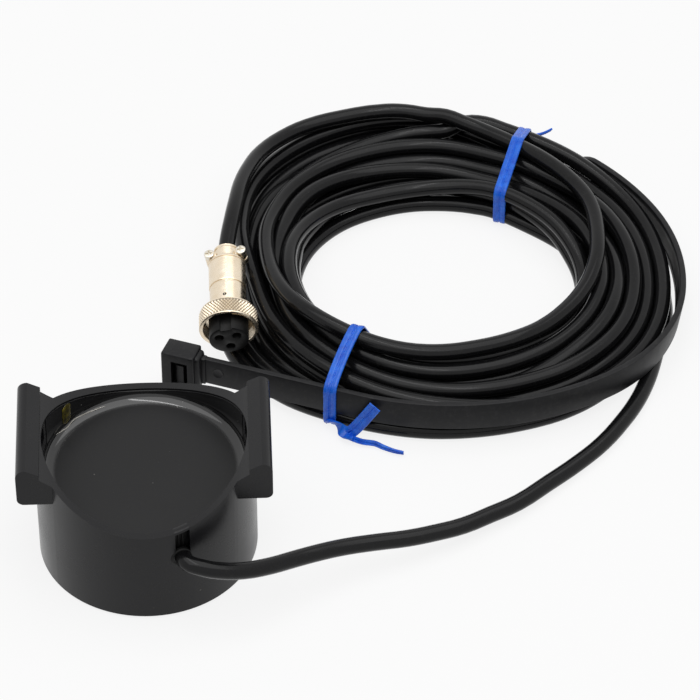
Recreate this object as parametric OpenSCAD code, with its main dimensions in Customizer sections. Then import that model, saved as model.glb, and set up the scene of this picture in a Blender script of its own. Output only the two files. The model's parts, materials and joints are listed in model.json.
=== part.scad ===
// Saddle-mount puck sonar transducer: potted cup with its element, coiled cable,
// locking plug and mounting strap. Origin at the centre of the sounding face,
// Z up, the motor barrel's axis along Y. All sizes in millimetres.

/* [Housing] */
// Outside diameter of the round cup
body_d = 61; // [56:0.5:70]
// Height of the rim along the lowest line of the saddle
rim_h = 31.2; // [30:0.2:40]
// Thickness of the cup's side wall
wall = 2.3; // [1.8:0.1:3.2]
// Thickness of the sounding face
face_t = 2.6; // [1.6:0.1:4]
// Radius of the motor barrel that the saddle fits
saddle_r = 44.4; // [42:0.2:52]
// Bevel round the sounding face
face_bevel = 0.8; // [0.3:0.1:1.4]

/* [Ears] */
// Length of an ear along the barrel
ear_l = 34.6; // [28:0.2:42]
// How far an ear stands out past the cup's side
ear_over = 4.3; // [3:0.1:6]
// Height of an ear's outer face
ear_depth = 12.8; // [11:0.1:15]
// Width of the flat on top of an ear
ear_flat = 2.8; // [2:0.1:4]
// Height of the ear's flat above the barrel's surface
ear_lip = 0.3; // [0.1:0.1:1]
// Width of the sloping pad inside the flat
pad_w = 3.5; // [2.5:0.1:4.5]
// Height of the step at the pad's inner edge
pad_step = 1.7; // [0.8:0.1:2.2]
// Radius of the ear's lower outer edge
ear_edge_r = 2; // [0.8:0.1:2.8]
// Radius of an ear's upper outer edge
ear_top_r = 2.7; // [0.8:0.1:2.8]

/* [Strap slots] */
// Width of a strap slot along the barrel
slot_w = 11; // [10:0.5:14]
// Height of a strap slot
slot_h = 5; // [4.2:0.1:6]
// Height of a slot's lower edge above the ear's lower edge
slot_rise = 2.4; // [1.6:0.1:3]

/* [Potting] */
// Depth of the potting's surface below the saddle's lowest line
pot_depth = 3.5; // [2:0.1:6]
// Height that the potting climbs the wall
meniscus_h = 1.4; // [0.6:0.1:1.8]
// Width of the climbing edge
meniscus_w = 2.2; // [1.2:0.1:3]

/* [Element] */
// Diameter of the ceramic disc
disc_d = 25.4; // [18:0.2:30]
// Thickness of the ceramic disc
disc_t = 10.2; // [6:0.2:12]
// Wall of the cork sleeve round the disc
sleeve_t = 2; // [1:0.1:3]
// Thickness of the cork backing on the disc
backing_t = 3; // [2:0.1:4]
// Diameter of the two holes in the backing
backing_hole_d = 4; // [3:0.1:5]
// Diameter of an insulated lead
lead_d = 1.3; // [0.8:0.1:1.8]
// Diameter of a soldered joint
solder_d = 2.6; // [1.8:0.1:2.8]
// Height of a soldered joint
solder_h = 1.1; // [0.6:0.1:1.8]
// Distance of the inner lead's joint from the disc's centre
hot_r = 2.5; // [2.4:0.1:4]
// Distance of the outer lead's joint from the disc's centre
ground_r = 9.6; // [8.8:0.1:9.8]

/* [Cable] */
// Diameter of the cable's jacket
cable_d = 4.8; // [4:0.1:5.4]
// Turn of the cable outlet from the front towards the right
exit_angle = 19; // [10:1:30]
// Height of the cable's axis at the outlet
exit_h = 22.4; // [21:0.1:24]
// Width of the slot from the rim down to the outlet
keyhole_w = 4.2; // [3:0.1:4.6]
// Depth of the filled slot's face below the cup's side
fill_in = 1.8; // [0.3:0.1:2]
// Distance of the cable's inner end from the cup's axis
cable_in = 17; // [15:0.5:20]

/* [Coil] */
// Radius of the coil's hole
coil_hole_r = 38.5; // [34:0.5:40]
// Radius of the coil's side outline
coil_side_r = 53.2; // [52:0.1:53.2]
// Radius of the coil's front outline
coil_front_r = 57.4; // [55:0.1:57.4]
// Radius of the coil's rear outline
coil_rear_r = 36; // [34:0.1:36]
// Height of the coil's top over the middle of its front edge
coil_top = 17; // [14:0.5:20]
// Fall of the coil's top towards the rear, in degrees
coil_fall = 3.1; // [2:0.1:4]
// Fall of the coil's top towards the right, in degrees
coil_tilt = 3.3; // [2:0.1:4]

/* [Plug] */
// Outside diameter of the coupling ring
ring_d = 17.4; // [16.8:0.1:19]
// Length of the coupling ring
ring_l = 5.8; // [5:0.1:8]
// Wall of the coupling ring round its thread
ring_wall = 1.2; // [0.9:0.05:1.6]
// Thickness of the coupling ring's back wall
ring_back = 1.4; // [1:0.1:1.8]
// Outside diameter of the shell
shell_d = 10.9; // [10.4:0.1:11.6]
// Wall of the shell
shell_wall = 0.95; // [0.7:0.05:1.2]
// Length of the shell behind the coupling ring
shell_l = 17.7; // [16:0.1:24]
// Diameter of the flange that holds the coupling ring
flange_d = 13.4; // [13:0.1:14]
// Thickness of that flange
flange_t = 1.2; // [0.8:0.1:1.6]
// Diameter of the insulator's face
insert_d = 11.6; // [11:0.1:12.4]
// How far the insulator stands out of the coupling ring
insert_out = 3.8; // [2:0.1:6]
// Width of the keyway on top of the insulator
keyway_w = 3.4; // [2.4:0.1:4]
// Depth of the keyway
keyway_t = 1.2; // [0.8:0.1:1.6]
// Radius of the circle of contacts
contact_r = 3; // [2.8:0.05:3.2]
// Outside diameter of a contact
contact_d = 2.2; // [1.9:0.05:2.4]
// Bore of a contact
contact_bore = 1.6; // [1.2:0.05:1.7]
// Diameter of the hole in front of a contact
contact_mouth = 2.6; // [2.5:0.05:2.8]
// Length of the cable clamp
clamp_l = 6; // [5.4:0.1:8]
// Wall of the clamp round the cable
clamp_wall = 1.3; // [1:0.1:1.5]
// Half width of the clamp over its two screw ears
clamp_half_w = 6.2; // [6.1:0.1:7]
// Distance of a clamp screw from the plug's axis
clamp_screw_x = 4.7; // [4.6:0.1:5]
// Thread diameter of a clamp screw
clamp_screw_d = 1.8; // [1.4:0.1:2]
// Head diameter of a clamp screw
clamp_head_d = 3.2; // [2.8:0.1:3.3]
// Running clearance of the coupling ring, on the radius
run_gap = 0.08; // [0.03:0.01:0.1]

/* [Strap] */
// Width of the strap
strap_w = 9; // [7:0.5:10]
// Thickness of the strap
strap_t = 1.8; // [1.2:0.1:2]
// Length of the strap's head
head_l = 10; // [9:0.1:12]
// Thickness of the head
head_t = 7.2; // [6.5:0.1:9]
// Height of the head past each edge of the strap
head_over = 2; // [1.5:0.1:3]
// Width of the head's window
window_w = 5.2; // [4.6:0.1:6]

/* [Ribbon ties] */
// Width of a ribbon tie
tie_w = 3.8; // [3:0.1:5]
// Thickness of a ribbon tie
tie_t = 0.8; // [0.5:0.1:0.85]

/* [Hidden] */
$fn = 64;
// Small room between bonded or seated faces
fit = 0.04;
// Room between a tie and what it holds
tie_gap = 0.4;
// Overlap of a cut past a face
past = 1;

body_r = body_d / 2;
cup_r = body_r - wall;
function sag(x) = saddle_r - sqrt(saddle_r * saddle_r - x * x);
ear_x = body_r + ear_over;
ridge_x = ear_x - ear_flat;
step_x = ridge_x - pad_w;
ear_top = rim_h + sag(ridge_x) + ear_lip;
ear_low = ear_top - ear_depth;
slot_low = ear_low + slot_rise;
pot_h = rim_h - pot_depth;
cable_r = cable_d / 2;
outlet_room = 0.1;
outlet_r = cable_r + outlet_room;
fill_rise = 0.6;

sleeve_r = disc_d / 2 + fit + sleeve_t;
disc_top = face_t + fit + disc_t;
backing_low = disc_top + fit;
backing_top = backing_low + backing_t;
joint_top = disc_top + fit + solder_h;

// Plug: distances along its axis from the clamp's rear end towards the front
plug_at = [24, 99.4, 18.25];
plug_tilt = 9.4;
plug_roll = 10;
tail_in = 8.2;
ring_play = 0.3;
spigot_in = 10.9;
contact_in = 9.2;
contact_down = 2;
socket_deep = 7;
shell_z = clamp_l;
ring_z = shell_z + shell_l;
ring_end = ring_z + ring_l;
flange_z = ring_z + ring_back + ring_play;
flange_end = flange_z + flange_t;
insert_end = ring_end + insert_out;
shell_bore = shell_d / 2 - shell_wall;
spigot_z = shell_z + spigot_in;
contact_rear = shell_z + contact_in;
contact_end = insert_end - contact_down;
clamp_r = cable_r + fit + clamp_wall;
ear_gap = 0.25;
clamp_ear_t = 2;
clamp_mid = clamp_l / 2;
head_h = 1.3;
groove_w = 0.5;
groove_t = 0.25;
shell_screw_d = 1.8;
shell_screw_in = 3.4;
shell_screw_z = ring_z - shell_screw_in;
conductor_d = 1.1;

// Coil: three outline circles, the hole, and the lift by the ties' thickness
coil_side = [82, 116];
coil_front = [97, 95];
coil_rear = [70, 140];
coil_hole = [86, 96];
coil_lift = 1;
coil_edge_y = coil_front[1] - coil_front_r;
function coil_z(x, y) = coil_top - (y - coil_edge_y) * tan(coil_fall) - (x - coil_hole[0]) * tan(coil_tilt);

// Strap: start, heading, and its stretches as [length, radius], 0 for straight
strap_at = [15, 58.5];
strap_turn = -22;
strap_run = [[48, 0], [78, 83], [44, 51], [43, 70], [34, 87]];
strap_step = 2.5;
strap_z = 6;
strap_lean = -2.6;

// Ribbon ties: middle, direction towards the outside, reach to the inside and to the outside
front_tie_at = [56, 53];
front_tie_turn = 251;
front_tie_in = 15.8;
front_tie_out = 11.6;
rear_tie_at = [112.4, 144.2];
rear_tie_turn = 72;
rear_tie_in = 17.7;
rear_tie_out = 17.1;

// Cable route from the outlet to the coil
function outlet(r) = [r * sin(exit_angle), -r * cos(exit_angle), exit_h];
lead_route = concat([for (r = [cable_in, (cable_in + body_r) / 2, body_r - past]) outlet(r)], [
    [11, -31.2, 22.3], [14.5, -32.6, 21.6], [19, -32.6, 20.2], [26, -30.5, 17.8],
    [33.5, -26.8, 15.5], [40.5, -22.5, 13.5], [47.5, -18.8, 12], [54.5, -15.6, 10.5],
    [63, -12.8, 9], [72, -10.2, 7.5], [80, -7.2, 6.3], [88, -3.7, 5.2], [96, 1.2, 4.3],
    [104, 6.2, 3.6], [113, 14, 3], [122.5, 22.4, 2.6], [130, 30, 2.5], [136.5, 38.7, 2.5],
    [141, 46, 2.5], [144.5, 53.5, 2.5], [147, 60.5, 2.5], [147.5, 67.5, 2.5], [145, 75, 2.6]]);
// Cable route from the plug's clamp back to the coil
tail_route = [
    [plug_at[0], plug_at[1] - tail_in * cos(plug_tilt), plug_at[2] - tail_in * sin(plug_tilt)], plug_at,
    [24.2, 104.2, 19], [24.7, 110.6, 19.9], [25.5, 119.9, 20], [27.5, 130.1, 18.8], [30.5, 140.3, 16.8],
    [36, 151.4, 14.4], [42.5, 159.7, 12.7], [49.5, 165.4, 11.6], [60, 169.6, 11.2], [69.5, 170.8, 11],
    [78, 168.5, 9]];
// Loose ends of the ribbon ties
front_twist = [[52.4, 42.1, 2.6], [55, 39.4, 3], [57.6, 36.6, 2.2]];
front_flat_end = [[57, 37, 2.4], [60.5, 36.4, 6], [63, 35.9, 9.2], [65.4, 35.4, 12]];
front_thin_end = [[57, 37, 2], [62, 34, 1.6], [68, 31.6, 1.3], [73, 30.2, 1]];
rear_thin_end = [[117.8, 160.4, 10.6], [120, 161.4, 10.4], [122.4, 162.2, 10.9], [124.6, 163.4, 11.4]];

// Points on a smooth curve through a list of points, n steps a stretch
function curve_at(a, b, c, d, t) = 0.5 * ((2 * b) + (c - a) * t + (2 * a - 5 * b + 4 * c - d) * t * t
    + (3 * b - a - 3 * c + d) * t * t * t);
function smooth(p, n) = let (m = len(p) - 1) concat([for (i = [0:m - 1], k = [0:n - 1])
    curve_at(p[max(i - 1, 0)], p[i], p[i + 1], p[min(i + 2, m)], k / n)], [p[m]]);
function unit(v) = v / norm(v);

// Skin over rings of points, closed at both ends
module skin(rings) {
    n = len(rings[0]);
    m = len(rings);
    points = [for (r = rings) each r];
    sides = [for (i = [0:m - 2], j = [0:n - 1]) let (a = i * n + j, b = i * n + (j + 1) % n)
        each [[a, a + n, b], [b, a + n, b + n]]];
    low = [for (j = [0:n - 1]) j];
    high = [for (j = [n - 1:-1:0]) (m - 1) * n + j];
    polyhedron(points, concat(sides, [low, high]));
}

// Section carried along a route, with its own turn at each ring
module sweep(route, section, turn = 0) {
    m = len(route) - 1;
    skin([for (i = [0:m]) let (
        along = unit(route[min(i + 1, m)] - route[max(i - 1, 0)]),
        side = unit(cross([0, 0, 1], along)),
        up = cross(along, side),
        a = turn * i / m)
        [for (s = section) route[i] + side * (s[0] * cos(a) - s[1] * sin(a))
            + up * (s[0] * sin(a) + s[1] * cos(a))]]);
}

function round_section(r, n) = [for (j = [0:n - 1]) r * [cos(360 * j / n), sin(360 * j / n)]];
function flat_section(w, t) = [[w / 2, -t / 2], [w / 2, t / 2], [-w / 2, t / 2], [-w / 2, -t / 2]];

// Straight round bar between two points
module bar(p, q, d) {
    v = q - p;
    translate(p)
        rotate([0, acos(v[2] / norm(v)), atan2(v[1], v[0])])
            cylinder(d = d, h = norm(v));
}

// Frame of the cable outlet: local X points out of the cup along the cable
module at_outlet() {
    rotate([0, 0, exit_angle - 90]) translate([0, 0, exit_h]) children();
}

// Room for the cable: the outlet's bore and the slot up to the rim
module keyhole(r0, r1, bore_r, w) {
    at_outlet() {
        translate([r0, 0, 0]) rotate([0, 90, 0]) cylinder(r = bore_r, h = r1 - r0);
        translate([r0, -w / 2, 0]) cube([r1 - r0, w, ear_top]);
    }
}

// Section of one ear, seen along the barrel, with a rounded lower outer edge
module ear_section() {
    difference() {
        translate([0, ear_low]) square([ear_x, ear_depth]);
        translate([ear_x - ear_edge_r, ear_low - past]) difference() {
            square([ear_edge_r + past, ear_edge_r + past]);
            translate([0, ear_edge_r + past]) circle(r = ear_edge_r);
        }
    }
}

// What the rounding takes off an ear's upper outer edge
module ear_top_cut() {
    translate([ear_x - ear_top_r, ear_top - ear_top_r]) difference() {
        square([ear_top_r + past, ear_top_r + past]);
        circle(r = ear_top_r);
    }
}

// Section of the pad that stands on the barrel's surface inside an ear's flat
module pad_section() {
    polygon([[step_x, rim_h + sag(step_x) - past], [step_x, rim_h + sag(step_x) + pad_step],
        [ridge_x, ear_top], [ear_x, ear_top], [ear_x, ear_low + ear_edge_r],
        [ridge_x, ear_low + ear_edge_r]]);
}

module along_barrel(l) {
    rotate([90, 0, 0]) translate([0, 0, -l / 2]) linear_extrude(l) children();
}

module housing() {
    color([0.09, 0.09, 0.10]) difference() {
        union() {
            difference() {
                union() {
                    rotate_extrude() polygon([[0, 0], [body_r - face_bevel, 0],
                        [body_r, face_bevel], [body_r, ear_top], [0, ear_top]]);
                    for (side = [0, 1]) mirror([side, 0, 0]) along_barrel(ear_l) difference() {
                        ear_section();
                        ear_top_cut();
                    }
                }
                translate([0, 0, rim_h + saddle_r]) rotate([90, 0, 0])
                    cylinder(r = saddle_r, h = 2 * ear_x, center = true, $fn = 128);
            }
            for (side = [0, 1]) mirror([side, 0, 0]) along_barrel(ear_l) difference() {
                pad_section();
                ear_top_cut();
            }
        }
        translate([0, 0, face_t]) cylinder(r = cup_r, h = ear_top);
        for (side = [0, 1]) mirror([side, 0, 0])
            translate([cup_r - wall, -slot_w / 2, slot_low])
                cube([ear_x - cup_r + wall + past, slot_w, slot_h]);
        keyhole(cup_r - wall, body_r + past, outlet_r, keyhole_w);
    }
}

// Potting's section with the edge that climbs the wall as a hollow curve
module pot_section() {
    r = cup_r - fit;
    polygon(concat([[0, face_t + fit], [r, face_t + fit], [r, pot_h + meniscus_h]],
        [for (a = [15:15:90]) [r - meniscus_w * sin(a), pot_h + meniscus_h * (1 - sin(a)) * (1 - sin(a))]],
        [[0, pot_h]]));
}

module potting() {
    fill_w = keyhole_w - 2 * fit;
    fill_top = rim_h + fill_rise - exit_h;
    color([0.07, 0.07, 0.075]) difference() {
        union() {
            rotate_extrude() pot_section();
            at_outlet() translate([cup_r - wall, -fill_w / 2, 0])
                cube([body_r - fill_in - cup_r + wall, fill_w, fill_top]);
        }
        translate([0, 0, face_t]) cylinder(r = sleeve_r + fit, h = backing_top + fit - face_t);
        at_outlet() translate([cable_in - fit, 0, 0]) rotate([0, 90, 0])
            cylinder(r = outlet_r, h = body_r);
        element_lead(hot_r, 1, lead_d + 2 * fit);
        element_lead(ground_r, -1, lead_d + 2 * fit);
    }
}

module piezo_disc() {
    color([0.78, 0.76, 0.70]) translate([0, 0, face_t + fit]) cylinder(d = disc_d, h = disc_t);
}

module cork_sleeve() {
    color([0.55, 0.40, 0.26]) translate([0, 0, face_t + fit]) difference() {
        cylinder(r = sleeve_r, h = disc_t);
        translate([0, 0, -past]) cylinder(d = disc_d + 2 * fit, h = disc_t + 2 * past);
    }
}

// Place of a lead's joint on the disc: out along the cable, to one side of it
function joint_at(r, side) = [r, side * lead_d * 0.75, 0];

module at_joint(r, side) {
    rotate([0, 0, exit_angle - 90]) translate(joint_at(r, side)) children();
}

module cork_backing() {
    color([0.55, 0.40, 0.26]) difference() {
        translate([0, 0, backing_low]) cylinder(r = sleeve_r, h = backing_t);
        at_joint(hot_r, 1) translate([0, 0, backing_low - past])
            cylinder(d = backing_hole_d, h = backing_t + 2 * past);
        at_joint(ground_r, -1) translate([0, 0, backing_low - past])
            cylinder(d = backing_hole_d, h = backing_t + 2 * past);
    }
}

// Insulated lead: level from the cable's end, then down to its joint
module element_lead(r, side, d) {
    at_joint(r, side) {
        translate([0, 0, joint_top]) cylinder(d = d, h = exit_h - joint_top);
        translate([0, 0, exit_h]) sphere(d = d);
        translate([0, 0, exit_h]) rotate([0, 90, 0]) cylinder(d = d, h = cable_in - fit - r);
    }
}

module hot_lead() {
    color([0.80, 0.12, 0.10]) element_lead(hot_r, 1, lead_d);
}

module ground_lead() {
    color([0.12, 0.12, 0.13]) element_lead(ground_r, -1, lead_d);
}

module solder_joints() {
    color([0.74, 0.74, 0.76]) {
        at_joint(hot_r, 1) translate([0, 0, disc_top])
            cylinder(d1 = solder_d, d2 = lead_d, h = solder_h);
        at_joint(ground_r, -1) translate([0, 0, disc_top])
            cylinder(d1 = solder_d, d2 = lead_d, h = solder_h);
    }
}

module cable_lead() {
    color([0.08, 0.08, 0.085]) sweep(smooth(lead_route, 2), round_section(cable_r, 10));
}

module cable_tail() {
    color([0.08, 0.08, 0.085]) sweep(smooth(tail_route, 2), round_section(cable_r, 10));
}

// Outer shape of the coiled cable: three outline circles, an offset hole and a falling top
module cable_coil() {
    tall = 2 * coil_top;
    far = coil_front[0] + coil_rear[1];
    color([0.08, 0.08, 0.085]) difference() {
        translate([0, 0, coil_lift]) linear_extrude(tall) hull() {
            translate(coil_side) circle(r = coil_side_r);
            translate(coil_front) circle(r = coil_front_r);
            translate(coil_rear) circle(r = coil_rear_r);
        }
        translate([coil_hole[0], coil_hole[1], 0]) cylinder(r = coil_hole_r, h = tall + 2 * past);
        translate([coil_hole[0], coil_edge_y, coil_top]) rotate([-coil_fall, coil_tilt, 0])
            translate([-far, -far, 0]) cube([2 * far, 2 * far, tall]);
    }
}

// Frame of the plug: local Z along its axis to the front, local Y up
module at_plug() {
    translate(plug_at) rotate([90 + plug_tilt, 0, 0]) rotate([0, 0, plug_roll]) children();
}

// Half of the cable clamp, with two screw ears, below the parting line
module clamp_half(z0, z1) {
    intersection() {
        translate([-clamp_half_w, -clamp_r - past, z0])
            cube([2 * clamp_half_w, clamp_r + past - ear_gap, z1 - z0]);
        union() {
            translate([0, 0, z0]) cylinder(r = clamp_r, h = z1 - z0);
            for (side = [-1, 1]) hull() {
                translate([side * clamp_screw_x, 0, clamp_mid]) rotate([90, 0, 0])
                    cylinder(r = clamp_half_w - clamp_screw_x, h = clamp_ear_t + ear_gap, $fn = 32);
                translate([0, 0, clamp_mid]) rotate([90, 0, 0])
                    cylinder(r = clamp_half_w - clamp_screw_x, h = clamp_ear_t + ear_gap, $fn = 32);
            }
        }
    }
}

module clamp_holes(d) {
    for (side = [-1, 1]) translate([side * clamp_screw_x, clamp_r + past, clamp_mid])
        rotate([90, 0, 0]) cylinder(d = d, h = 2 * (clamp_r + past));
}

module plug_shell() {
    groove_z = shell_z + shell_l / 2;
    color([0.80, 0.78, 0.73]) at_plug() difference() {
        union() {
            translate([0, 0, shell_z]) cylinder(d = shell_d, h = flange_end - shell_z);
            translate([0, 0, flange_z]) cylinder(d = flange_d, h = flange_t);
            clamp_half(0, shell_z + past);
        }
        translate([0, 0, shell_z + shell_wall]) cylinder(r = shell_bore, h = flange_end);
        translate([0, 0, -past]) cylinder(r = cable_r + fit, h = shell_z + 2 * past + shell_wall);
        translate([0, 0, groove_z]) difference() {
            cylinder(d = shell_d + past, h = groove_w);
            translate([0, 0, -past]) cylinder(d = shell_d - 2 * groove_t, h = groove_w + 2 * past);
        }
        translate([0, 0, shell_screw_z]) rotate([-90, 0, 0])
            cylinder(d = shell_screw_d + 2 * fit, h = shell_d);
        clamp_holes(clamp_screw_d + 2 * fit);
    }
}

module coupling_ring() {
    bevel = 0.4;
    r = ring_d / 2;
    bore = r - ring_wall;
    hole = shell_d / 2 + run_gap;
    color([0.82, 0.80, 0.75]) at_plug() rotate_extrude() polygon([[hole, ring_z], [r - bevel, ring_z],
        [r, ring_z + bevel], [r, ring_end - bevel], [r - bevel, ring_end], [bore, ring_end],
        [bore, ring_z + ring_back], [hole, ring_z + ring_back]]);
}

module contact_places() {
    for (a = [30, 150, 270]) rotate([0, 0, a]) translate([contact_r, 0, 0]) children();
}

module plug_insert() {
    color([0.07, 0.07, 0.07]) at_plug() difference() {
        union() {
            translate([0, 0, flange_end]) cylinder(d = insert_d, h = insert_end - flange_end);
            translate([0, 0, spigot_z]) cylinder(r = shell_bore - fit, h = flange_end - spigot_z + fit);
        }
        translate([-keyway_w / 2, insert_d / 2 - keyway_t, flange_end + fit])
            cube([keyway_w, insert_d, insert_end]);
        contact_places() {
            translate([0, 0, spigot_z - past]) cylinder(d = contact_d + 2 * fit, h = insert_end);
            translate([0, 0, contact_end]) cylinder(d = contact_mouth, h = insert_end);
        }
    }
}

module contact_sockets() {
    color([0.78, 0.72, 0.55]) at_plug() contact_places() difference() {
        translate([0, 0, contact_rear]) cylinder(d = contact_d, h = contact_end - contact_rear);
        translate([0, 0, contact_end - socket_deep]) cylinder(d = contact_bore, h = socket_deep + past);
    }
}

module shell_screw() {
    color([0.70, 0.68, 0.64]) at_plug() translate([0, shell_bore, shell_screw_z]) rotate([-90, 0, 0])
        cylinder(d = shell_screw_d, h = shell_wall - 2 * fit);
}

module clamp_bar() {
    color([0.80, 0.78, 0.73]) at_plug() difference() {
        mirror([0, 1, 0]) clamp_half(0.4, shell_z - 0.3);
        translate([0, 0, -past]) cylinder(r = cable_r + fit, h = shell_z + past);
        clamp_holes(clamp_screw_d + 2 * fit);
    }
}

module clamp_screws() {
    reach = clamp_ear_t + ear_gap;
    color([0.70, 0.68, 0.64]) at_plug() for (side = [-1, 1])
        translate([side * clamp_screw_x, 0, clamp_mid]) rotate([-90, 0, 0]) {
            translate([0, 0, reach + fit]) cylinder(d = clamp_head_d, h = head_h);
            translate([0, 0, -reach]) cylinder(d = clamp_screw_d, h = 2 * reach + fit + past / 2);
        }
}

// Two conductors from the cable's end to their contacts
module plug_leads() {
    color([0.80, 0.12, 0.10]) at_plug() for (a = [30, 150])
        bar([conductor_d * cos(a), conductor_d * sin(a), tail_in + conductor_d / 2],
            [contact_r * cos(a), contact_r * sin(a), contact_rear - conductor_d / 4], conductor_d);
}

// Position and heading after a distance along a list of straight and curved stretches
function step_on(p, l, r) = let (h = p[2], turn = r == 0 ? 0 : l / r * 180 / PI)
    r == 0 ? [p[0] + l * cos(h), p[1] + l * sin(h), h]
    : [p[0] + r * (sin(h + turn) - sin(h)), p[1] + r * (cos(h) - cos(h + turn)), h + turn];
function run_on(p, run, i = 0) = i >= len(run) ? [p] : let (n = ceil(run[i][0] / strap_step))
    concat([for (k = [0:n - 1]) step_on(p, run[i][0] * k / n, run[i][1])],
        run_on(step_on(p, run[i][0], run[i][1]), run, i + 1));
function beside(p, d) = [p[0] - d * sin(p[2]), p[1] + d * cos(p[2])];

module strap_frame() {
    translate([0, coil_edge_y, strap_z])
        rotate([strap_lean, 0, 0]) translate([0, -coil_edge_y, 0]) children();
}

module strap_head() {
    half = strap_w / 2 + head_over;
    bevel = 0.8;
    lip = 1.2;
    slack = 0.2;
    throat = strap_t + 2 * slack;
    window_x = lip - head_l / 2 - window_w / 2;
    translate([strap_at[0], strap_at[1], strap_w / 2]) rotate([0, 0, strap_turn]) difference() {
        rotate([90, 0, 0]) translate([0, 0, bevel - head_t / 2]) linear_extrude(head_t)
            polygon([[-head_l, bevel - half], [bevel - head_l, -half], [-bevel, -half], [0, bevel - half],
                [0, half - bevel], [-bevel, half], [bevel - head_l, half], [-head_l, half - bevel]]);
        translate([window_x, -head_t, -strap_w / 2 - slack])
            cube([throat, 2 * head_t, strap_w + 2 * slack]);
        translate([window_x, -head_t - bevel, -strap_w / 2 - slack])
            cube([window_w, head_t, strap_w + 2 * slack]);
    }
}

module mounting_strap() {
    path = run_on([strap_at[0], strap_at[1], strap_turn], strap_run);
    last = path[len(path) - 1];
    color([0.08, 0.08, 0.085]) strap_frame() union() {
        linear_extrude(strap_w) polygon(concat(
            [beside(step_on(path[0], -past, 0), -strap_t / 2)],
            [for (p = path) beside(p, -strap_t / 2)],
            [for (i = [len(path) - 1:-1:0]) beside(path[i], strap_t / 2)],
            [beside(step_on(path[0], -past, 0), strap_t / 2)]));
        strap_head();
    }
}

// Band closed round the coil and the strap, standing across the cable
module tie_band(at, turn, reach_in, reach_out, top) {
    low = coil_lift - 0.1;
    reach = reach_in + reach_out;
    translate([at[0], at[1], 0]) rotate([0, 0, turn]) rotate([90, 0, 0])
        translate([-reach_in, low, -tie_w / 2]) linear_extrude(tie_w) difference() {
            translate([-tie_t, -tie_t]) square([reach + 2 * tie_t, top - low + 2 * tie_t]);
            square([reach, top - low]);
        }
}

module tie_front() {
    color([0.10, 0.32, 0.85]) {
        tie_band(front_tie_at, front_tie_turn, front_tie_in, front_tie_out,
            coil_z(front_tie_at[0] - tie_w, coil_edge_y) + tie_gap);
        sweep(smooth(front_twist, 3), flat_section(tie_w * 0.8, 2.4 * tie_t), 270);
        sweep(smooth(front_flat_end, 2), flat_section(tie_t, tie_w));
        sweep(smooth(front_thin_end, 2), flat_section(tie_w * 0.5, tie_t), 180);
    }
}

module tie_rear() {
    color([0.10, 0.32, 0.85]) {
        tie_band(rear_tie_at, rear_tie_turn, rear_tie_in, rear_tie_out,
            coil_z(rear_tie_at[0] - rear_tie_in / 2, rear_tie_at[1] - rear_tie_in) + tie_gap);
        sweep(smooth(rear_thin_end, 2), flat_section(tie_w * 0.5, tie_t), 90);
    }
}

housing();
potting();
piezo_disc();
cork_sleeve();
cork_backing();
hot_lead();
ground_lead();
solder_joints();
cable_lead();
cable_coil();
cable_tail();
plug_shell();
coupling_ring();
plug_insert();
contact_sockets();
shell_screw();
clamp_bar();
clamp_screws();
plug_leads();
mounting_strap();
tie_front();
tie_rear();
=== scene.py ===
"""Looks of a potted sonar puck: moulded cup, poured resin, coiled cable, ribbon ties, plug and strap."""
import json
import math

import bmesh
import bpy
import numpy as np
from mathutils import Matrix, Vector


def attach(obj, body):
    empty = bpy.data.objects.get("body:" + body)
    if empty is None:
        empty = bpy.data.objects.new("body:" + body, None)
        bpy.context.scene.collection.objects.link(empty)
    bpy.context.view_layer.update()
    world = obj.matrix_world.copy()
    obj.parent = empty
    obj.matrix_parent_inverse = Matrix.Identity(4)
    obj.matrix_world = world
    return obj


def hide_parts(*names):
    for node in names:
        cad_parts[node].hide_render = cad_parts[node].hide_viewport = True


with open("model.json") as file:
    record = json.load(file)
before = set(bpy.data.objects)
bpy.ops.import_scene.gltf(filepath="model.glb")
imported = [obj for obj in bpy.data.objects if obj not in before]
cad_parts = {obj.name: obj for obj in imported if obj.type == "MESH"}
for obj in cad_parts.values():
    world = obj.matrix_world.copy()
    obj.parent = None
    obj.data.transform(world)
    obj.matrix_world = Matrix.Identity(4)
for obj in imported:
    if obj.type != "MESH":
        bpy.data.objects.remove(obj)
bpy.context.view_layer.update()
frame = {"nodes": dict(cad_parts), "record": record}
scene = bpy.context.scene
scene.view_settings.view_transform = "Standard"
MM = 0.001


# Camera, as the photograph was taken
lens = bpy.data.cameras.new("photo_lens")
lens.sensor_fit = "HORIZONTAL"
lens.sensor_width = 36.0
lens.lens = 208.4
lens.clip_start = 0.05
photo_camera = bpy.data.objects.new("photo_camera", lens)
photo_camera.location = (0.0238, -0.7907, 0.8188)
photo_camera.rotation_euler = (math.radians(46.6), 0, math.radians(-2.36))
scene.collection.objects.link(photo_camera)
scene.camera = photo_camera


# Small helpers for finishes
def finish(name, colour, roughness, metallic=0.0, **sockets):
    """A new material with its shader's plain values set on the sockets."""
    material = bpy.data.materials.new(name)
    material.use_nodes = True
    shader = material.node_tree.nodes["Principled BSDF"]
    shader.inputs["Base Color"].default_value = (*colour, 1)
    shader.inputs["Roughness"].default_value = roughness
    shader.inputs["Metallic"].default_value = metallic
    for socket, value in sockets.items():
        shader.inputs[socket.replace("_", " ")].default_value = value
    return material, material.node_tree.nodes, material.node_tree.links, shader


def place_on(nodes, links, turn=(0, 0, 0), scale=(1, 1, 1), at=(0, 0, 0)):
    """Object coordinates, centred, turned and stretched for one piece."""
    where = nodes.new("ShaderNodeTexCoord")
    fit = nodes.new("ShaderNodeMapping")
    fit.inputs["Location"].default_value = at
    fit.inputs["Rotation"].default_value = turn
    fit.inputs["Scale"].default_value = scale
    links.new(where.outputs["Object"], fit.inputs["Vector"])
    return fit.outputs["Vector"]


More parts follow.
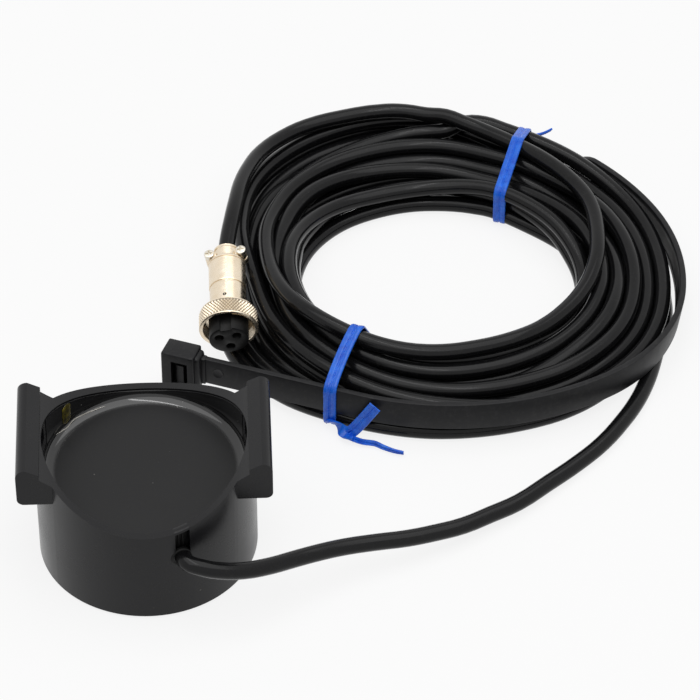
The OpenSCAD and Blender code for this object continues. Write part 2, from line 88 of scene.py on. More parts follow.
def speckle(nodes, links, vector, scale, detail=4.0, rough=0.55):
    """Fine noise as a value from 0 to 1."""
    noise = nodes.new("ShaderNodeTexNoise")
    noise.inputs["Scale"].default_value = scale
    noise.inputs["Detail"].default_value = detail
    noise.inputs["Roughness"].default_value = rough
    links.new(vector, noise.inputs["Vector"])
    return noise.outputs["Fac"]


def between(nodes, links, value, low, high, first, last):
    """Ramp of colours between two places of a value."""
    ramp = nodes.new("ShaderNodeValToRGB")
    ramp.color_ramp.elements[0].position = low
    ramp.color_ramp.elements[1].position = high
    ramp.color_ramp.elements[0].color = (*first, 1)
    ramp.color_ramp.elements[1].color = (*last, 1)
    links.new(value, ramp.inputs["Fac"])
    return ramp.outputs["Color"]


def maths(nodes, links, operation, first, second):
    """A sum of two values, the second a number or another value."""
    node = nodes.new("ShaderNodeMath")
    node.operation = operation
    links.new(first, node.inputs[0])
    if isinstance(second, float):
        node.inputs[1].default_value = second
    else:
        links.new(second, node.inputs[1])
    return node.outputs[0]


def colour_over(nodes, links, under, over, share):
    """One colour laid over another by a share."""
    mix = nodes.new("ShaderNodeMixRGB")
    links.new(share, mix.inputs["Fac"])
    links.new(under, mix.inputs["Color1"])
    mix.inputs["Color2"].default_value = (*over, 1)
    return mix.outputs["Color"]


def from_middle(nodes, links, vector):
    """Distance from the upright axis."""
    flat = nodes.new("ShaderNodeVectorMath")
    flat.operation = "MULTIPLY"
    flat.inputs[1].default_value = (1, 1, 0)
    links.new(vector, flat.inputs[0])
    length = nodes.new("ShaderNodeVectorMath")
    length.operation = "LENGTH"
    links.new(flat.outputs["Vector"], length.inputs[0])
    return length.outputs["Value"]


def spread(nodes, links, value, low, high, lowest, highest):
    """A value's range moved to another range."""
    span = nodes.new("ShaderNodeMapRange")
    for socket, number in (("From Min", low), ("From Max", high), ("To Min", lowest), ("To Max", highest)):
        span.inputs[socket].default_value = number
    links.new(value, span.inputs["Value"])
    return span.outputs["Result"]


def flecks(nodes, links, vector, under, pale, scale):
    """Scattered specks of dust over a colour."""
    cells = nodes.new("ShaderNodeTexVoronoi")
    cells.inputs["Scale"].default_value = scale
    links.new(vector, cells.inputs["Vector"])
    small = spread(nodes, links, cells.outputs["Distance"], 0.03, 0.06, 1, 0)
    here = spread(nodes, links, speckle(nodes, links, vector, 0.4 * scale, 2), 0.52, 0.60, 0, 1)
    return colour_over(nodes, links, under, pale, maths(nodes, links, "MULTIPLY", small, here))


def relief(nodes, links, shader, value, strength, depth):
    """Fine bump on a shader from a value, its depth in metres."""
    bump = nodes.new("ShaderNodeBump")
    bump.inputs["Strength"].default_value = strength
    bump.inputs["Distance"].default_value = depth
    links.new(value, bump.inputs["Height"])
    links.new(bump.outputs["Normal"], shader.inputs["Normal"])


# Finishes
NOISE_SPAN = (0.3, 0.7)
RESIN_CLIMBS = (0.0248, 0.0258)


def moulded_plastic():
    """Satin black moulding: faint grain, slightly uneven gloss, a little dust."""
    material, nodes, links, shader = finish(
        "moulded_black_plastic", (0.012, 0.012, 0.013), 0.25, Specular_IOR_Level=0.25)
    spot = place_on(nodes, links)
    cloud = speckle(nodes, links, spot, 55, 5)
    grain = speckle(nodes, links, spot, 2600, 2)
    dust = speckle(nodes, links, spot, 900, 6, 0.7)
    black = between(nodes, links, dust, 0.60, 0.80, (0.006, 0.006, 0.007), (0.022, 0.021, 0.020))
    links.new(flecks(nodes, links, spot, black, (0.14, 0.13, 0.12), 170), shader.inputs["Base Color"])
    links.new(spread(nodes, links, cloud, *NOISE_SPAN, 0.20, 0.32), shader.inputs["Roughness"])
    relief(nodes, links, shader, grain, 0.10, 0.00006)
    return material


def poured_resin():
    """Black casting resin: soft gloss with dust in the middle, and a clear gloss where it climbs the wall."""
    material, nodes, links, shader = finish(
        "poured_black_resin", (0.011, 0.011, 0.012), 0.38, Specular_IOR_Level=0.22)
    spot = place_on(nodes, links)
    cloud = speckle(nodes, links, spot, 60, 3)
    dust = speckle(nodes, links, spot, 1500, 8, 0.75)
    black = between(nodes, links, dust, 0.60, 0.76, (0.009, 0.009, 0.0095), (0.034, 0.033, 0.032))
    links.new(flecks(nodes, links, spot, black, (0.34, 0.33, 0.31), 300), shader.inputs["Base Color"])
    reach = from_middle(nodes, links, spot)
    rough = nodes.new("ShaderNodeMapRange")
    rough.inputs["From Min"].default_value, rough.inputs["From Max"].default_value = RESIN_CLIMBS
    rough.inputs["To Max"].default_value = 0.07
    links.new(reach, rough.inputs["Value"])
    links.new(spread(nodes, links, cloud, *NOISE_SPAN, 0.34, 0.46), rough.inputs["To Min"])
    links.new(rough.outputs["Result"], shader.inputs["Roughness"])
    links.new(spread(nodes, links, reach, *RESIN_CLIMBS, 0.22, 0.6), shader.inputs["Specular IOR Level"])
    relief(nodes, links, shader, speckle(nodes, links, spot, 380, 3), 0.04, 0.0002)
    return material


def speckled(name, plain, rough, colours, gloss=None, bump=None, metallic=0.0, stretch=(1, 1, 1), **sockets):
    """A finish of two mixed colours, with uneven gloss and a fine bump, each from its own noise."""
    material, nodes, links, shader = finish(name, plain, rough, metallic, **sockets)
    spot = place_on(nodes, links)
    noise, low, high, dark, pale = colours
    links.new(between(nodes, links, speckle(nodes, links, spot, *noise), low, high, dark, pale),
              shader.inputs["Base Color"])
    if gloss:
        noise, smoothest, roughest = gloss
        links.new(spread(nodes, links, speckle(nodes, links, spot, *noise), *NOISE_SPAN, smoothest, roughest),
                  shader.inputs["Roughness"])
    if bump:
        noise, strength, depth = bump
        stretched = place_on(nodes, links, scale=stretch)
        relief(nodes, links, shader, speckle(nodes, links, stretched, *noise), strength, depth)
    return material


def nickel_plate(name):
    """Warm bright nickel over turned metal."""
    return speckled(
        name, (0.80, 0.69, 0.54), 0.28, ((260, 4), 0.3, 0.75, (0.75, 0.63, 0.47), (0.84, 0.74, 0.60)),
        gloss=((900, 4), 0.22, 0.34), bump=((300, 3), 0.05, 0.00003), metallic=1.0, stretch=(1, 30, 1))


def plain_metal(name, dark, pale, rough):
    """Small metal fittings: contacts, screws and solder."""
    return speckled(name, pale, rough, ((800, 4), *NOISE_SPAN, dark, pale),
                    gloss=((1600, 3), rough - 0.06, rough + 0.1), metallic=1.0)


def inner_filling(name, dark, pale, rough, size):
    """Matter inside the cup: cork, ceramic and wire covering."""
    return speckled(name, pale, rough, ((size, 5), 0.35, 0.65, dark, pale), bump=((size * 2, 3), 0.2, 0.0001))


FINISH = {
    "housing_plastic": moulded_plastic(),
    "potting_resin": poured_resin(),
    "piezo_ceramic": inner_filling("silvered_ceramic", (0.55, 0.53, 0.48), (0.75, 0.72, 0.65), 0.5, 500),
    "cork": inner_filling("pressed_cork", (0.24, 0.15, 0.08), (0.5, 0.36, 0.22), 0.9, 700),
    "red_insulation": inner_filling("red_wire_cover", (0.45, 0.02, 0.02), (0.6, 0.05, 0.05), 0.45, 900),
    "black_insulation": inner_filling("black_wire_cover", (0.02, 0.02, 0.02), (0.035, 0.035, 0.035),
                                      0.45, 900),
    "solder": plain_metal("dull_solder", (0.5, 0.5, 0.52), (0.7, 0.7, 0.72), 0.35),
    # Vinyl with a waxy gloss
    "cable_jacket": speckled(
        "black_vinyl_jacket", (0.008, 0.008, 0.009), 0.28,
        ((700, 5, 0.7), 0.55, 0.8, (0.0055, 0.0055, 0.006), (0.015, 0.015, 0.015)),
        gloss=((120, 4), 0.13, 0.23), bump=((1800, 2), 0.06, 0.00005), Specular_IOR_Level=0.2),
    "nickel_plate": nickel_plate("warm_nickel_plate"),
    # Dull moulding with pale handling marks
    "black_phenolic": speckled(
        "black_moulded_insulator", (0.006, 0.006, 0.006), 0.45,
        ((1200, 6, 0.7), 0.60, 0.8, (0.005, 0.005, 0.005), (0.026, 0.024, 0.023)),
        gloss=((300, 3), 0.38, 0.55), bump=((2400, 2), 0.12, 0.00005), Specular_IOR_Level=0.16),
    "contact_metal": plain_metal("plated_contact", (0.55, 0.45, 0.25), (0.75, 0.65, 0.4), 0.3),
    "screw_steel": plain_metal("plated_screw", (0.62, 0.58, 0.5), (0.84, 0.79, 0.7), 0.22),
    # Nylon, duller than the cup, with a faint flow grain
    "strap_nylon": speckled(
        "black_strap_nylon", (0.010, 0.010, 0.011), 0.42,
        ((600, 5, 0.7), 0.5, 0.8, (0.008, 0.008, 0.009), (0.022, 0.022, 0.022)),
        gloss=((90, 3), 0.36, 0.5), bump=((2200, 2), 0.10, 0.00005), Specular_IOR_Level=0.2),
    "blue_ribbon": speckled(
        "glossy_blue_ribbon", (0.012, 0.13, 0.72), 0.26,
        ((420, 4), 0.3, 0.75, (0.006, 0.085, 0.60), (0.02, 0.19, 0.86)),
        gloss=((700, 3), 0.2, 0.34), bump=((1500, 2), 0.10, 0.00006), Specular_IOR_Level=0.34),
}
# The amber tint is the resin's own; its brightness is painted light, standing for light passing through the
# thin resin
AMBER_WITH_PAINTED_GLOW = speckled("amber_resin", (0.2, 0.15, 0.015), 0.14,
                 ((400, 4), 0.35, 0.7, (0.012, 0.010, 0.002), (0.22, 0.18, 0.012)), Coat_Weight=0.5)
# Bead of resin whose pale colour is a painted highlight: the thin bright line along the resin's edge
BEAD_PAINTED_HIGHLIGHT = speckled("resin_bead_painted_highlight", (0.5, 0.48, 0.43), 0.12,
                     ((900, 3), *NOISE_SPAN, (0.34, 0.32, 0.28), (0.62, 0.60, 0.55)))
DARK_SCREW = plain_metal("blackened_set_screw", (0.03, 0.028, 0.025), (0.07, 0.065, 0.06), 0.42)

for part in frame["record"]["subparts"]:
    solid = frame["nodes"][part["node"]]
    solid.data.materials.clear()
    solid.data.materials.append(FINISH[part["material_slot"]])


# Small helpers for shapes (sizes in millimetres)
def piece(name, shape, slot, body="transducer", sharp=40, stands_for=(), material=None):
    """Turns a finished bmesh in millimetres into a riding piece in metres."""
    bmesh.ops.remove_doubles(shape, verts=shape.verts, dist=1e-5)
    bmesh.ops.recalc_face_normals(shape, faces=shape.faces)
    bmesh.ops.scale(shape, vec=(MM, MM, MM), verts=shape.verts)
    mesh = bpy.data.meshes.new(name)
    shape.to_mesh(mesh)
    shape.free()
    mesh.set_sharp_from_angle(angle=math.radians(sharp))
    obj = bpy.data.objects.new(name, mesh)
    scene.collection.objects.link(obj)
    mesh.materials.append(material or FINISH[slot])
    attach(obj, body)
    if stands_for:
        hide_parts(*stands_for)
    return obj


def curve_through(points, step):
    """Points about a step apart on a smooth curve through given points."""
    points = [Vector(p) for p in points]
    out = []
    for i in range(len(points) - 1):
        a, b, c, d = points[max(i - 1, 0)], points[i], points[i + 1], points[min(i + 2, len(points) - 1)]
        count = max(1, round((c - b).length / step))
        for k in range(count):
            t = k / count
            out.append(0.5 * (2 * b + (c - a) * t + (2 * a - 5 * b + 4 * c - d) * t * t
                              + (3 * b - a - 3 * c + d) * t ** 3))
    out.append(points[-1])
    return out


def frames_along(points, wide, closed=False):
    """A frame at each point: X along the wide direction, Y outwards, Z along the run."""
    count = len(points)
    frames = []
    for i, p in enumerate(points):
        before = points[(i - 1) % count] if closed else points[max(i - 1, 0)]
        after = points[(i + 1) % count] if closed else points[min(i + 1, count - 1)]
        along = (after - before).normalized()
        side = wide(i / max(count - 1, 1)) if callable(wide) else Vector(wide)
        side = (side - along * side.dot(along)).normalized()
        out = along.cross(side)
        frames.append(Matrix((
            (side.x, out.x, along.x, p.x), (side.y, out.y, along.y, p.y),
            (side.z, out.z, along.z, p.z), (0, 0, 0, 1))))
    return frames


def sweep(shape, outline, frames, closed=False):
    """Extrudes a closed outline from frame to frame."""
    ring = [shape.verts.new((x, y, 0)) for x, y in outline]
    edges = [shape.edges.new((ring[i], ring[(i + 1) % len(ring)])) for i in range(len(ring))]
    bmesh.ops.transform(shape, matrix=frames[0], verts=ring)
    first = edges
    rows = [ring]
    for last, here in zip(frames, frames[1:]):
        grown = bmesh.ops.extrude_edge_only(shape, edges=edges)["geom"]
        ring = [v for v in grown if isinstance(v, bmesh.types.BMVert)]
        edges = [e for e in grown if isinstance(e, bmesh.types.BMEdge) and e.is_boundary
                 and all(v in set(ring) for v in e.verts)]
        bmesh.ops.transform(shape, matrix=here @ last.inverted(), verts=ring)
        rows.append(ring)
    if closed:
        bmesh.ops.bridge_loops(shape, edges=first + edges)
    else:
        bmesh.ops.contextual_create(shape, geom=first)
        bmesh.ops.contextual_create(shape, geom=edges)
    return rows


AXIS = (0, 0, 1)


def turned(shape, profile, steps=64, angle=360.0, start=0.0):
    """Spins a closed profile of (radius, distance) round the upright axis."""
    verts = [shape.verts.new((r, 0, z)) for r, z in profile]
    edges = [shape.edges.new((verts[k], verts[(k + 1) % len(verts)])) for k in range(len(verts))]
    whole = angle >= 360
    if not whole:
        bmesh.ops.contextual_create(shape, geom=edges)
        ends = [f for f in shape.faces if set(f.verts) == set(verts)]
        begin = Matrix.Rotation(math.radians(start), 3, "Z")
        bmesh.ops.rotate(shape, cent=(0, 0, 0), matrix=begin, verts=verts)
    bmesh.ops.spin(shape, geom=verts + edges + ([] if whole else ends), cent=(0, 0, 0), axis=AXIS,
                   angle=math.radians(angle), steps=steps, use_merge=whole, use_duplicate=False)


# The cable: one cord from the cup, round the coil, to the plug
JACKET_D = 4.8
OUTLET = math.radians(19)
LEAD = [(r * math.sin(OUTLET), -r * math.cos(OUTLET), 22.4) for r in (23.8, 29.5)] + [
    (11, -31.2, 22.3), (14.5, -32.4, 21.6), (19, -32.4, 20.2), (26, -30.5, 17.8), (33.5, -26.8, 15.5),
    (40.5, -22.5, 13.5), (47.5, -18.8, 12), (54.5, -15.6, 10.5), (63, -12.8, 9), (72, -10.2, 7.5),
    (80, -7.2, 6.3), (88, -3.7, 5.2), (96, 1.2, 4.3), (104, 6.2, 3.6), (113, 14, 3), (122.5, 22.4, 2.6),
    (130, 30, 2.5), (136.5, 38.7, 2.5), (141, 46, 2.5), (144.5, 53.5, 2.5), (147, 60.5, 2.5)]
TAIL = [(60.2, 166, 12), (49.8, 162.1, 12.2), (42.1, 156.2, 13), (35.6, 148, 14.4), (31.6, 138.8, 16.3),
        (28.9, 129.2, 18.2), (27.3, 120.1, 19.4), (25.7, 110.9, 19.6), (24.5, 103.9, 18.9), (24, 99.4, 18.25),
        (24, 93.5, 17.28)]

# Inner and outer edge of the bundle every 22.5 degrees from the right side on, about the coil's middle
COIL_AT = (86.8, 96.0)
BUNDLE_IN = [40.4, 38.6, 37.0, 37.0, 37.3, 38.2, 40.0, 41.0, 41.0, 40.4, 39.2, 38.0, 37.4, 37.8, 38.8, 40.2]
BUNDLE_OUT = [68.8, 69.3, 68.8, 69.6, 78.0, 79.0, 75.0, 65.5, 57.5, 56.0, 56.5, 58.2, 59.8, 62.4, 66.3, 68.8]
BUNDLE_LOW = [69.4, 69.3, 68.8, 69.6, 78.0, 79.0, 75.5, 69.0, 66.5, 68.5, 66.0, 62.5, 61.5, 63.0, 67.0, 70.0]
# Place of each turn across the bundle, 0 inside to 1 outside, at the back and at the front
TURN_BACK = [1.0, .97, .55, .28, .05, .25, .60, 1.0, .72, .42, .10, .00, .35, .45]
TURN_FRONT = [1.0, .90, .78, .40, .08, .35, .75, 1.0, .50, .05, .00, .14, .55, .02]
FIRST_TURN = [(-20, .97), (-10, .93), (0, .88), (20, .82), (50, .84)]
BETWEEN_TURNS = [(1.0, .62), (8.0, 1.0), (8.08, 1.0), (8.17, .98), (8.21, .95), (13.58, .20), (13.9, .0)]
LAST_TURN = [(5, .22), (30, .47), (50, .60), (66, .73), (81, .80), (90, .83), (100, .90)]
TIE_ANGLES = (61, 234)


def round_table(table, angle):
    """Smooth closed curve through a table of values round the coil."""
    table = np.asarray(table)
    count = len(table)
    x = (angle % 360) / 360 * count
    i = np.floor(x).astype(int)
    t = x - i
    a, b, c, d = (table[(i + k) % count] for k in (-1, 0, 1, 2))
    return 0.5 * (2 * b + (c - a) * t + (2 * a - 5 * b + 4 * c - d) * t ** 2
                  + (3 * b - a - 3 * c + d) * t ** 3)


def smooth_line(xs, ys, x):
    """Smooth open curve through given values, level at both ends."""
    xs, ys = np.asarray(xs, float), np.asarray(ys, float)
    i = np.clip(np.searchsorted(xs, x, side="right") - 1, 0, len(xs) - 2)
    gap = xs[i + 1] - xs[i]
    t = np.clip((x - xs[i]) / gap, 0, 1)
    slope = np.zeros(len(xs))
    slope[1:-1] = (ys[2:] - ys[:-2]) / (xs[2:] - xs[:-2])
    return ((2 * t ** 3 - 3 * t ** 2 + 1) * ys[i] + (t ** 3 - 2 * t ** 2 + t) * gap * slope[i]
            + (3 * t ** 2 - 2 * t ** 3) * ys[i + 1] + (t ** 3 - t ** 2) * gap * slope[i + 1])


def laid_coil(turns=15, step=5, rounds=2400):
    """Drops the turns one on another and lets them settle, a section every few degrees."""
    angle = np.arange(-20, 100 + 360 * (turns - 1) + 1, step).astype(float)
    turn = angle / 360
    low = np.interp(turn, (0.75, 1.0, 1.3, 1.6, 2.0, 2.6, 3.0, 3.6, 4.0),
                    (1, 0.66, 0.84, 0.9, 0.7, 0.86, 0.8, 0.84, 0))
    inner = round_table(BUNDLE_IN, angle) + JACKET_D / 2
    outer = (round_table(BUNDLE_OUT, angle) * (1 - low) + round_table(BUNDLE_LOW, angle) * low) - JACKET_D / 2
    places = [(a / 360, u) for a, u in FIRST_TURN] + [(turns - 1 + a / 360, u) for a, u in LAST_TURN]
    places += BETWEEN_TURNS
    places += [(i + .25, TURN_BACK[i]) for i in range(turns - 1)]
    places += [(i + .75, TURN_FRONT[i]) for i in range(turns - 1)]
    xs, ys = zip(*sorted(places))
    aim = inner + np.clip(smooth_line(xs, ys, turn), 0, 1) * (outer - inner)
    into_last = angle - 360 * (turns - 1)
    hold = 1 + 7 * np.clip((into_last - 10) / 50, 0, 1) + 9 * np.clip(-angle / 20, 0, 1)
    over_ties = sum(0.95 * np.exp(-(((angle - at + 180) % 360 - 180) / 12) ** 2) for at in TIE_ANGLES)
    floor = JACKET_D / 2 + 0.03 + over_ties
    weight = 1 + 1.8 * np.clip((into_last - 55) / 35, 0, 1)
    r = aim.copy()
    z = floor + 5.2 * (turn - turn[0])
    sections = 360 // step
    order = np.arange(len(angle))
    layers = order.max() // sections + 1
    who = np.full((sections, layers), -1)
    who[order % sections, order // sections] = order
    there = who >= 0
    pairs = there[:, :, None] & there[:, None, :] & ~np.eye(layers, dtype=bool)[None]

    def straighten(x, aim, s, share):
        p = np.pad(x - aim, 2 * s, mode="edge")
        x -= share * (p[:-4 * s] - 4 * p[s:-3 * s] + 6 * p[2 * s:-2 * s] - 4 * p[3 * s:-s] + p[4 * s:])

    for k in range(rounds):
        early = k < 0.7 * rounds
        z -= (0.10 if early else 0.05) * weight
        r += (aim - r) * (0.03 if early else 0.01) * hold
        for s in (5, 3, 2, 1):
            straighten(r, aim, s, 0.045)
        for s in (3, 2, 1):
            straighten(z, 0, s, 0.04)
        for _ in range(4):
            rr = np.where(there, r[who], 1e6 * (1 + np.arange(layers)))
            zz = np.where(there, z[who], 0)
            dr = rr[:, :, None] - rr[:, None, :]
            dz = zz[:, :, None] - zz[:, None, :]
            apart = np.sqrt(dr ** 2 + dz ** 2) + 1e-9
            push = np.where(pairs, np.maximum(1.01 * JACKET_D - apart, 0), 0) * 0.35 / apart
            r[who[there]] += (push * dr).sum(2)[there]
            z[who[there]] += (push * dz).sum(2)[there]
            r = np.clip(r, inner, outer)
            z = np.maximum(z, floor)
    turned = np.radians(angle)
    return np.c_[COIL_AT[0] + r * np.cos(turned), COIL_AT[1] + r * np.sin(turned), z]


coil = laid_coil()
cable_route = [*LEAD, *[tuple(p) for p in coil], *TAIL]
cable_line = bpy.data.curves.new("cable", "CURVE")
cable_line.dimensions = "3D"
cable_line.bevel_depth = JACKET_D / 2 * MM
cable_line.bevel_resolution = 5
cable_line.resolution_u = 3
cable_line.use_fill_caps = True
run = cable_line.splines.new("BEZIER")
run.bezier_points.add(len(cable_route) - 1)
for knot, p in zip(run.bezier_points, cable_route):
    knot.co = Vector(p) * MM
for knot in run.bezier_points:
    knot.handle_left_type = knot.handle_right_type = "AUTO"
cable = bpy.data.objects.new("cable", cable_line)
scene.collection.objects.link(cable)
cable_line.materials.append(FINISH["cable_jacket"])
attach(cable, "transducer")
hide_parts("cable_lead", "cable_coil", "cable_tail")


# Ribbon ties round the bundle
RIBBON_W = 3.8
RIBBON_T = 0.55


def ribbon_outline(width=RIBBON_W, thick=RIBBON_T):
    """Flat ribbon of two soft lobes, with a groove between and a fine rib along each lobe."""
    half = width / 2
    tops = [(-1, .30), (-.93, .72), (-.80, .92), (-.62, .80), (-.52, .98), (-.42, .80), (-.18, .78),
            (-.05, .38),
            (.05, .38), (.18, .78), (.42, .80), (.52, .98), (.62, .80), (.80, .92), (.93, .72), (1, .30)]
    return [(x * half, y * thick) for x, y in tops] + [(half, -.1), (-half, -.1)]


def bundle_section(at, turn, reach_in, reach_out, extra=()):
    """Where the coil's turns cross an upright plane: distance out along it, and height."""
    out = np.array((math.cos(math.radians(turn)), math.sin(math.radians(turn))))
    across = np.array((-out[1], out[0]))
    offset = (coil[:, :2] - np.array(at)) @ across
    found = list(extra)
    for i in np.nonzero(offset[:-1] * offset[1:] <= 0)[0]:
        t = offset[i] / (offset[i] - offset[i + 1] + 1e-12)
        p = coil[i] * (1 - t) + coil[i + 1] * t
        s = float((p[:2] - np.array(at)) @ out)
        if -reach_in < s < reach_out:
            found.append((s, float(p[2]), JACKET_D / 2))
    return found


def tight_loop(section, clear):
    """Closed outline stretched round all the sections' circles."""
    dots = sorted({(round(s + (r + clear) * math.cos(a), 3), round(z + (r + clear) * math.sin(a), 3))
                   for s, z, r in section for a in np.linspace(0, 2 * math.pi, 24, endpoint=False)})

    def half(points):
        chain = []
        for p in points:
            while len(chain) > 1 and ((chain[-1][0] - chain[-2][0]) * (p[1] - chain[-2][1])
                                      - (chain[-1][1] - chain[-2][1]) * (p[0] - chain[-2][0])) <= 0:
                chain.pop()
            chain.append(p)
        return chain[:-1]
    hull = half(dots) + half(dots[::-1])
    loop = []
    for i, p in enumerate(hull):
        q = hull[(i + 1) % len(hull)]
        count = max(1, round(math.dist(p, q) / 1.2))
        loop += [(p[0] + (q[0] - p[0]) * k / count, p[1] + (q[1] - p[1]) * k / count) for k in range(count)]
    return loop


def tie_band(shape, at, turn, section, slant=0.0):
    """The closed part of a tie; its inner end may lie further along the bundle than its outer end."""
    out = Vector((math.cos(math.radians(turn)), math.sin(math.radians(turn)), 0))
    across = Vector((-out.y, out.x, 0))
    base = Vector((*at, 0))
    outline = tight_loop(section, 0.08)
    outer, inner = max(s for s, z in outline), min(s for s, z in outline)
    loop = [base + out * s + across * slant * ((outer - s) / (outer - inner)) ** 2 + Vector((0, 0, z))
            for s, z in outline]
    frames = frames_along(loop, across, closed=True)
    middle = sum(loop, Vector()) / len(loop)
    outward = frames[0].to_3x3() @ Vector((0, 1, 0))
    flip = 1 if outward.dot(loop[0] - middle) > 0 else -1
    sweep(shape, [(x, y * flip) for x, y in ribbon_outline()], frames, closed=True)


def ribbon_end(shape, points, first, last, width, turn=0.0, thick=RIBBON_T, step=0.6):
    """A loose end of ribbon whose wide side goes from one direction to another while it twists."""
    first, last = Vector(first), Vector(last)
    route = curve_through(points, step)
    axis = (route[-1] - route[0]).normalized()

    def wide(share):
        side = first.lerp(last, share)
        return Matrix.Rotation(math.radians(turn) * share, 3, axis) @ side
    sweep(shape, ribbon_outline(width, thick), frames_along(route, wide))


FRONT_TIE, REAR_TIE = ((56, 53), 251), ((112.4, 144.2), 72)
STRAP_AT_FRONT_TIE = [(9.6, 6.4, 0.9), (8.75, 13.35, 2.5)]
KNOT = [(51.9, 44, 2.1), (52.6, 43, 2.8), (53.5, 41, 3.1), (55.4, 38.4, 2.8), (57.6, 36.3, 2.2),
        (58.9, 35.3, 1.9)]
FLAT_END = [(57.2, 37.4, 2.2), (58.5, 37.2, 3.2), (60.2, 36.9, 5.6), (62.5, 36.4, 9.5), (65, 35.8, 14)]
THIN_END = [(57.8, 36, 1.9), (61.2, 34.3, 1.7), (64.9, 33.5, 1.6), (67.2, 32.1, 1.5), (70.2, 30.6, 1.4),
            (73, 29.8, 1.3)]
REAR_END = [(116.8, 158, 9.6), (119.4, 158.9, 8.9), (121.7, 160, 8.5), (123.3, 161, 8.3),
            (125.2, 162.4, 8.2)]
front = bmesh.new()
tie_band(front, *FRONT_TIE, bundle_section(*FRONT_TIE, 20, 13, STRAP_AT_FRONT_TIE), slant=3.4)
ribbon_end(front, KNOT, (.5, .3, .8), (.8, .5, -.3), 3.5, turn=-230, thick=0.75, step=0.45)
ribbon_end(front, FLAT_END, (-.6, .6, .5), (-.75, .45, .48), 3.8)
ribbon_end(front, THIN_END, (.3, .6, .5), (.2, .9, .3), 1.7, turn=95, thick=0.5)
piece("front_ribbon_tie", front, "blue_ribbon", stands_for=["tie_front"])
rear = bmesh.new()
tie_band(rear, *REAR_TIE, bundle_section(*REAR_TIE, 22, 18))
ribbon_end(rear, REAR_END, (.2, -.3, .9), (-.5, .3, .8), 1.7, turn=70, thick=0.5)
piece("rear_ribbon_tie", rear, "blue_ribbon", stands_for=["tie_rear"])


# Mounting strap, standing on edge round the coil
STRAP_W, STRAP_T = 9.0, 1.8
STRAP_RUN = [(48, 0), (78, 83), (44, 51), (43, 70), (34, 87)]
STRAP_PLACE = (Matrix.Translation((0, 37.6, 6)) @ Matrix.Rotation(math.radians(-2.6), 4, "X")
               @ Matrix.Translation((0, -37.6, STRAP_W / 2)))
STRAP_FROM, STRAP_TURN = (15, 58.5, 0), math.radians(-22)
TIP_ROWS = 18
LEAN, LEAN_AT, LEAN_REACH = 8, 168, 34


def strap_line(step):
    """Middle line of the strap: straight from the head, then a run of bends to the left."""
    at, turn = Vector(STRAP_FROM), STRAP_TURN
    line = [at.copy()]
    for length, radius in STRAP_RUN:
        count = round(length / step)
        for _ in range(count):
            bend = length / count / radius if radius else 0
            turn += bend / 2
            at += length / count * Vector((math.cos(turn), math.sin(turn), 0))
            turn += bend / 2
            line.append(at.copy())
    return line


def strap_band(shape):
    """Band with rounded edges and a row of fine teeth on its inner face."""
    tooth = 1.1
    line = strap_line(tooth / 2)
    half_w, half_t, edge = STRAP_W / 2, STRAP_T / 2, 0.35
    outline = [(-half_w + edge, half_t), (half_w - edge, half_t), (half_w - .1, half_t - .1),
               (half_w, half_t - edge), (half_w, -half_t + edge), (half_w - .1, -half_t + .1),
               (half_w - edge, -half_t), (2.6, -half_t), (2.5, -half_t + .1),
               (-2.5, -half_t + .1), (-2.6, -half_t), (-half_w + edge, -half_t),
               (-half_w + .1, -half_t + .1), (-half_w, -half_t + edge), (-half_w, half_t - edge),
               (-half_w + .1, half_t - .1)]
    total = sum(length for length, _ in STRAP_RUN)

    def lean_at(share):
        return math.radians(LEAN * math.exp(-((share * total - LEAN_AT) / LEAN_REACH) ** 2))

    def outward_at(share):
        k = min(int(share * (len(line) - 1)), len(line) - 2)
        along = (line[k + 1] - line[k]).normalized()
        return Vector((along.y, -along.x, 0))

    def upright(share):
        return Vector((0, 0, math.cos(lean_at(share)))) + outward_at(share) * math.sin(lean_at(share))
    shares = [k / (len(line) - 1) for k in range(len(line))]
    leaned = [p - outward_at(u) * half_w * math.sin(lean_at(u)) for p, u in zip(line, shares)]
    rows = sweep(shape, outline, frames_along(leaned, upright))
    for k, row in enumerate(rows[12:-3:2]):
        deep = row[8:10]
        ahead = rows[12 + 2 * k + 1]
        lift = (row[7].co - row[0].co).normalized() * 0.45
        bmesh.ops.translate(shape, vec=-lift, verts=deep)
        bmesh.ops.translate(shape, vec=-lift * 0.1, verts=ahead[8:10])
    for k, row in enumerate(rows[-TIP_ROWS:]):
        foot = min(v.co.z for v in row)
        for v in row:
            v.co.z = foot + (v.co.z - foot) * (1 - 0.62 * (k / (TIP_ROWS - 1)) ** 2)
    bmesh.ops.transform(shape, matrix=STRAP_PLACE, verts=shape.verts)


def box(shape, low, high, edge=0.0, segments=2):
    """A block between two corners with rounded edges."""
    low, high = Vector(low), Vector(high)
    size = high - low
    verts = bmesh.ops.create_cube(shape, size=1)["verts"]
    bmesh.ops.scale(shape, vec=size, verts=verts)
    bmesh.ops.translate(shape, vec=(low + high) / 2, verts=verts)
    edges = list({e for v in verts for e in v.link_edges})
    if edge:
        bmesh.ops.bevel(shape, geom=edges, offset=edge, segments=segments, profile=0.5, affect="EDGES",
                        material=-1)


def cut(shape, point, normal):
    """Splits the faces along a plane."""
    bmesh.ops.bisect_plane(shape, geom=shape.verts[:] + shape.edges[:] + shape.faces[:], dist=1e-4,
                           plane_co=point, plane_no=normal)


def sink(shape, chosen, by):
    """Pushes the chosen faces in as one pocket."""
    faces = [f for f in shape.faces if chosen(f)]
    grown = bmesh.ops.extrude_face_region(shape, geom=faces)["geom"]
    bmesh.ops.delete(shape, geom=faces, context="FACES_ONLY")
    bmesh.ops.translate(shape, vec=by, verts=[v for v in grown if isinstance(v, bmesh.types.BMVert)])


